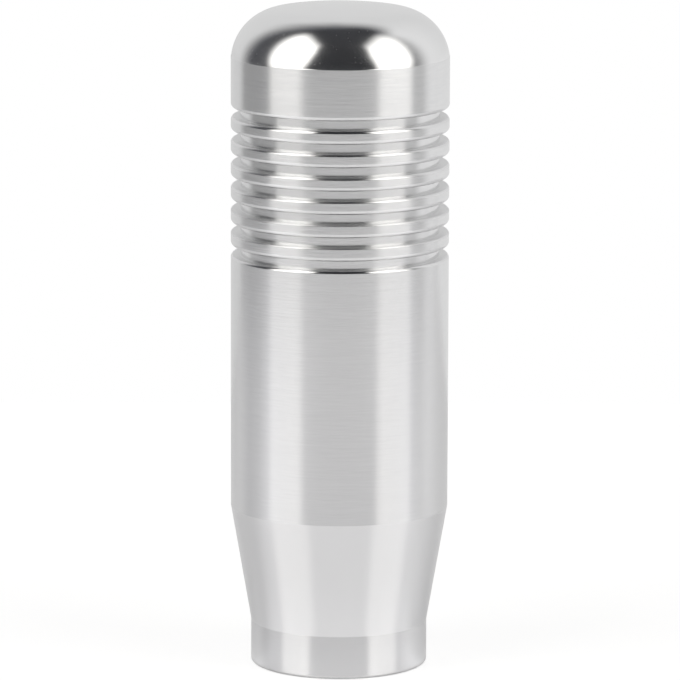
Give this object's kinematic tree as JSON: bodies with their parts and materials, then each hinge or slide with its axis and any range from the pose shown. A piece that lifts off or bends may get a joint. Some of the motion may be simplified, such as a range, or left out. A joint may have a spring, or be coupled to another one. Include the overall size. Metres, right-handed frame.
{
  "type": "gear shift knob",
  "caption": "Tall round gear shift knob turned from an aluminium billet, with a polished dome, finger grooves, a plain grip, a tapered foot and a tapped hole for the lever.",
  "frame": {"origin": "centre of the foot's face, which is the lowest point of the knob", "axes": "+Z along the knob's axis, from the foot to the dome; X and Y are free, because the knob is turned"},
  "size_m": [0.032, 0.032, 0.098],
  "materials": {
    "turned_aluminium": "bare aluminium with fine turning lines, mirror polished on the dome"
  },
  "bodies": {
    "root": {"knob_body": "turned_aluminium"}
  },
  "joints": []
}
